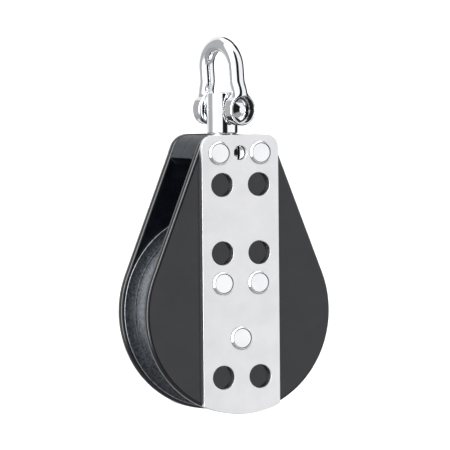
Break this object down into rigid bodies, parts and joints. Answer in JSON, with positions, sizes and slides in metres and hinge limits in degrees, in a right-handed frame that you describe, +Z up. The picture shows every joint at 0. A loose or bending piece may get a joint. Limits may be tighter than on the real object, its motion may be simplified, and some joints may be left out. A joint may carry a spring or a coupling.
{
  "type": "single sheave block",
  "caption": "Single sheave rope block with steel-strapped side plates, ball-bearing grooved sheave and swivelling head post with bow shackle.",
  "frame": {"origin": "on the shackle pin's axis, at the head post's centre line", "axes": "+Z up from the sheave to the shackle, +Y along the sheave's axle towards the rear side plate, +X across the side plates"},
  "size_m": [0.078, 0.034, 0.1453],
  "materials": {
    "plate_black": "satin black hard-anodised",
    "head_black": "moulded glass-filled nylon, satin",
    "sheave_black": "matt black hard-anodised with fine grit",
    "strap_steel": "fine satin stainless steel",
    "polished_steel": "polished stainless steel",
    "race_steel": "turned stainless steel",
    "bearing_acetal": "white acetal",
    "cage_acetal": "black acetal"
  },
  "bodies": {
    "shackle": {"shackle_bow": "polished_steel", "shackle_pin": "polished_steel"},
    "head_post": {"headpost": "polished_steel", "headpost_thrust_washer": "bearing_acetal"},
    "block": {"front_side_plate": "plate_black", "rear_side_plate": "plate_black", "front_strap": "strap_steel", "rear_strap": "strap_steel", "front_head_half": "head_black", "rear_head_half": "head_black", "upper_swivel_bush": "bearing_acetal", "lower_swivel_bush": "bearing_acetal", "hub": "race_steel", "front_hub_cap": "race_steel", "rear_hub_cap": "race_steel", "front_thrust_ring": "bearing_acetal", "rear_thrust_ring": "bearing_acetal", "head_rivet_left": "polished_steel", "head_rivet_right": "polished_steel", "hub_rivet_left": "polished_steel", "hub_rivet_right": "polished_steel", "hub_rivet_lower": "polished_steel"},
    "lock_screw": {"lock_screw": "strap_steel"},
    "sheave": {"sheave": "sheave_black", "sheave_race": "race_steel"},
    "front_ball_row": {"front_ball_cage": "cage_acetal", "front_ball_01": "bearing_acetal", "front_ball_02": "bearing_acetal", "front_ball_03": "bearing_acetal", "front_ball_04": "bearing_acetal", "front_ball_05": "bearing_acetal", "front_ball_06": "bearing_acetal", "front_ball_07": "bearing_acetal", "front_ball_08": "bearing_acetal", "front_ball_09": "bearing_acetal", "front_ball_10": "bearing_acetal", "front_ball_11": "bearing_acetal", "front_ball_12": "bearing_acetal", "front_ball_13": "bearing_acetal", "front_ball_14": "bearing_acetal"},
    "rear_ball_row": {"rear_ball_cage": "cage_acetal", "rear_ball_01": "bearing_acetal", "rear_ball_02": "bearing_acetal", "rear_ball_03": "bearing_acetal", "rear_ball_04": "bearing_acetal", "rear_ball_05": "bearing_acetal", "rear_ball_06": "bearing_acetal", "rear_ball_07": "bearing_acetal", "rear_ball_08": "bearing_acetal", "rear_ball_09": "bearing_acetal", "rear_ball_10": "bearing_acetal", "rear_ball_11": "bearing_acetal", "rear_ball_12": "bearing_acetal", "rear_ball_13": "bearing_acetal", "rear_ball_14": "bearing_acetal"}
  },
  "joints": [
    {"name": "shackle_swing", "type": "hinge", "parent": "shackle", "child": "head_post", "pos_m": [0, 0, 0], "axis": [-0.2419, 0.9703, 0], "range_deg": [-104, 96]},
    {"name": "swivel", "type": "hinge", "parent": "head_post", "child": "block", "pos_m": [0, 0, -0.0096], "axis": [0, 0, 1], "continuous": true},
    {"name": "sheave_spin", "type": "hinge", "parent": "block", "child": "sheave", "pos_m": [0, 0, -0.0782], "axis": [0, 1, 0], "continuous": true},
    {"name": "front_ball_row_spin", "type": "hinge", "parent": "block", "child": "front_ball_row", "pos_m": [0, 0, -0.0782], "axis": [0, 1, 0], "continuous": true},
    {"name": "rear_ball_row_spin", "type": "hinge", "parent": "block", "child": "rear_ball_row", "pos_m": [0, 0, -0.0782], "axis": [0, 1, 0], "continuous": true},
    {"name": "lock_screw_turn", "type": "hinge", "parent": "block", "child": "lock_screw", "pos_m": [0, 0, -0.0165], "axis": [0, 1, 0], "range_deg": [-720, 0]}
  ],
  "couplings": [
    {"joint": "front_ball_row_spin", "follows": "sheave_spin", "ratio": 0.5576},
    {"joint": "rear_ball_row_spin", "follows": "sheave_spin", "ratio": 0.5576}
  ]
}
